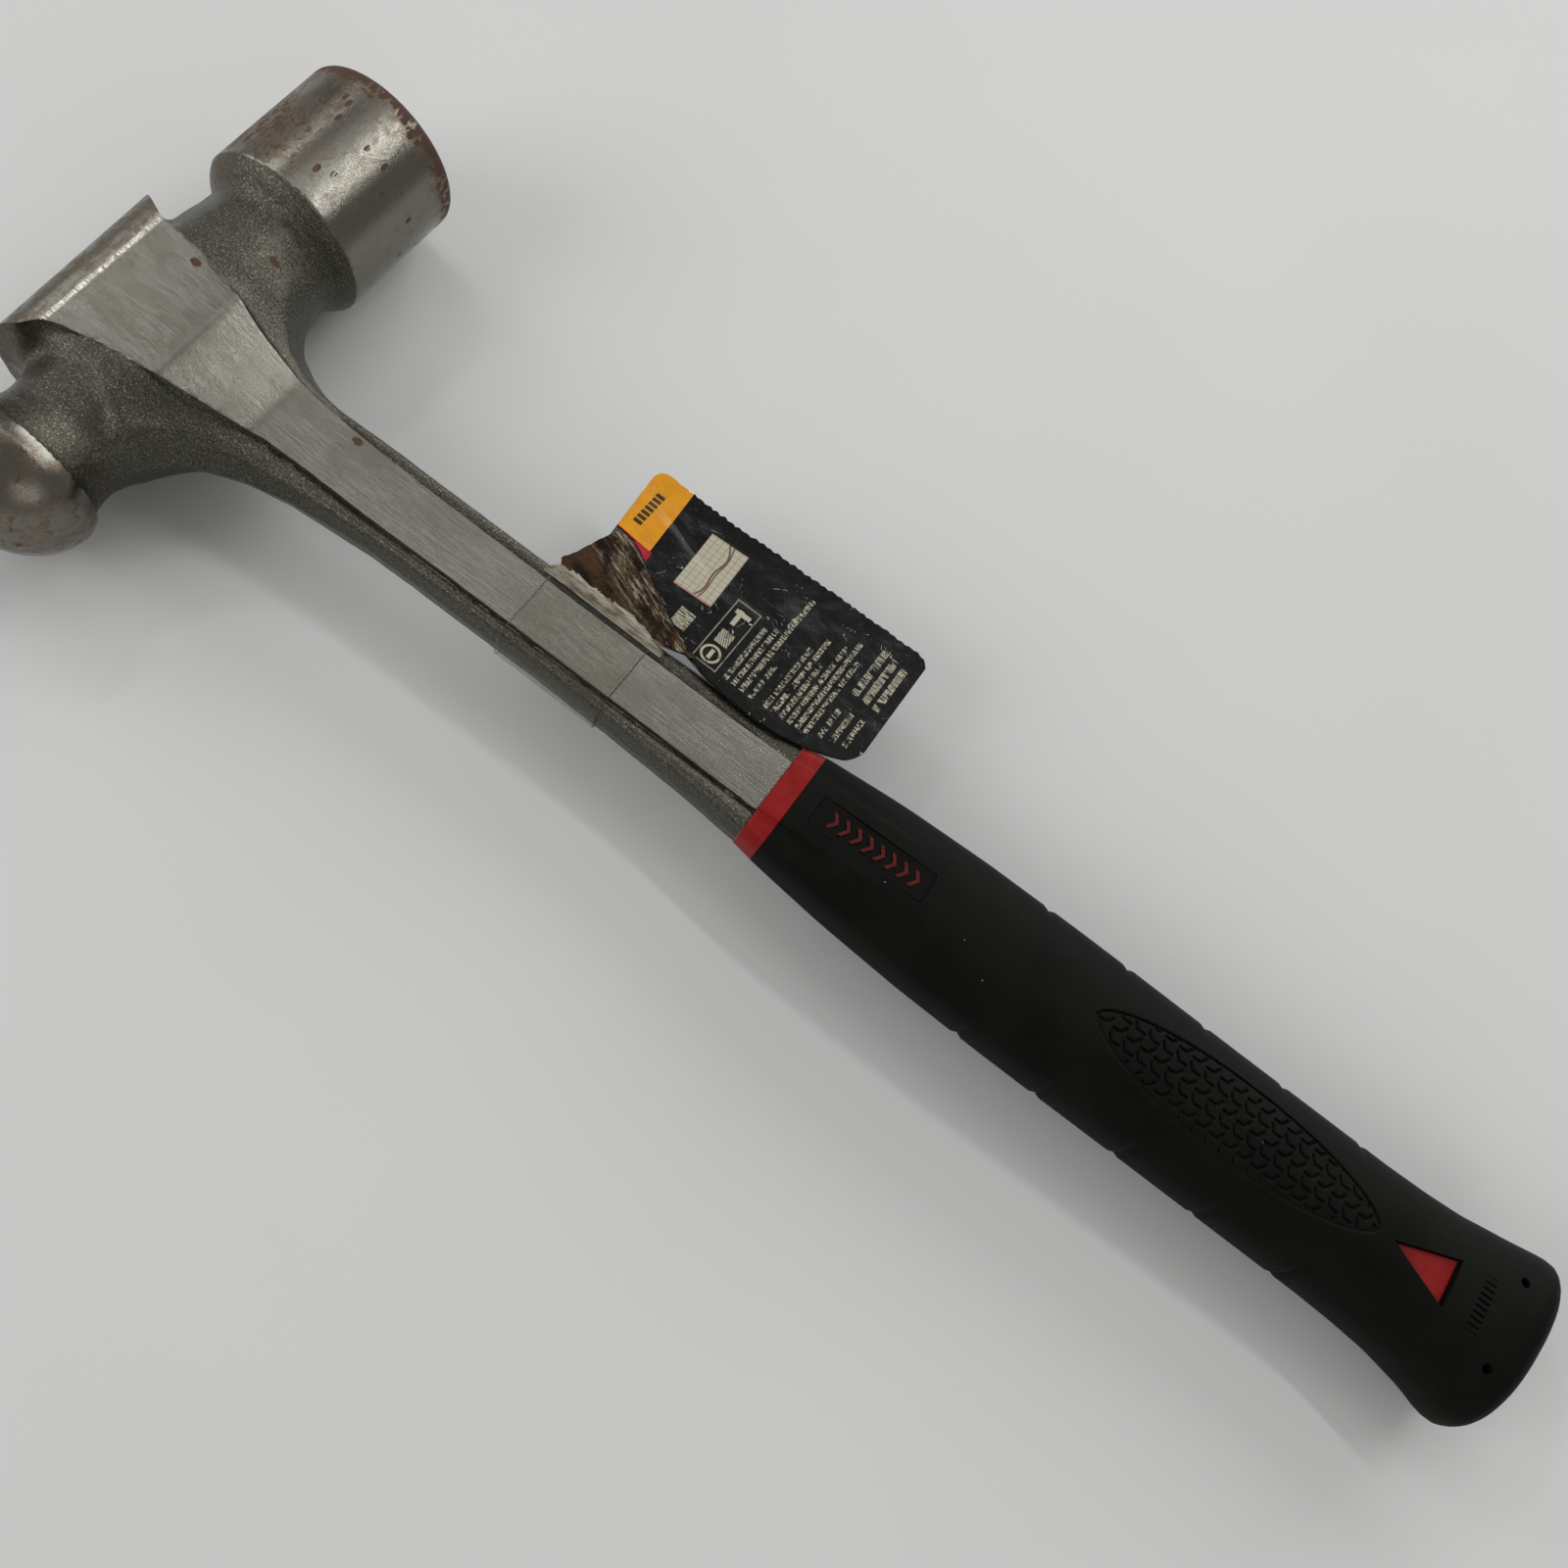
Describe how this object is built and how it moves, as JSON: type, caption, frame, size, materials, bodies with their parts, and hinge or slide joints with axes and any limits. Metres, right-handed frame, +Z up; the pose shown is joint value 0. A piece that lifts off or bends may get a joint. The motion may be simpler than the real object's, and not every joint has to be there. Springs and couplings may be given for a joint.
{
  "type": "ball peen hammer",
  "caption": "Heavy ball peen hammer: one-piece forged steel head and shank, overmoulded rubber grip with a tuning-fork tang inside, and a torn hang label that lifts.",
  "frame": {"origin": "centre of the bottom of the bounding box, on the surface that the hammer lies on", "axes": "+X along the handle from the head to the butt, +Y along the head from the peen to the striking face, +Z up out of the cheek; the hammer lies on its side"},
  "size_m": [0.4174, 0.1406, 0.0445],
  "materials": {
    "forged_steel": "ground facets with brushed grain, shot-blasted forged skin between them, light rust",
    "damper_elastomer": "matt",
    "red_plastic": "satin moulded",
    "black_rubber": "satin moulded, dusty",
    "badge_plastic": "satin inlay",
    "clear_film": "thin clear film",
    "label_card": "laminated card",
    "printed_label": "glossy laminated print, scuffed",
    "torn_paper": "torn brown paper fibre"
  },
  "bodies": {
    "hammer": {"forging": "forged_steel", "fork_damper": "damper_elastomer", "inner_sleeve": "red_plastic", "outer_grip": "black_rubber", "badge_front": "badge_plastic", "badge_back": "badge_plastic", "label_band": "clear_film"},
    "label_flag": {"label_back_ply": "label_card", "label_front_ply": "printed_label", "label_torn_ply": "torn_paper"}
  },
  "joints": [
    {"name": "label_fold", "type": "hinge", "parent": "hammer", "child": "label_flag", "pos_m": [-0.0665, 0.00275, 0.03015], "axis": [1, 0, 0], "range_deg": [0, 80], "stiffness_Nm_per_rad": 0.002}
  ]
}
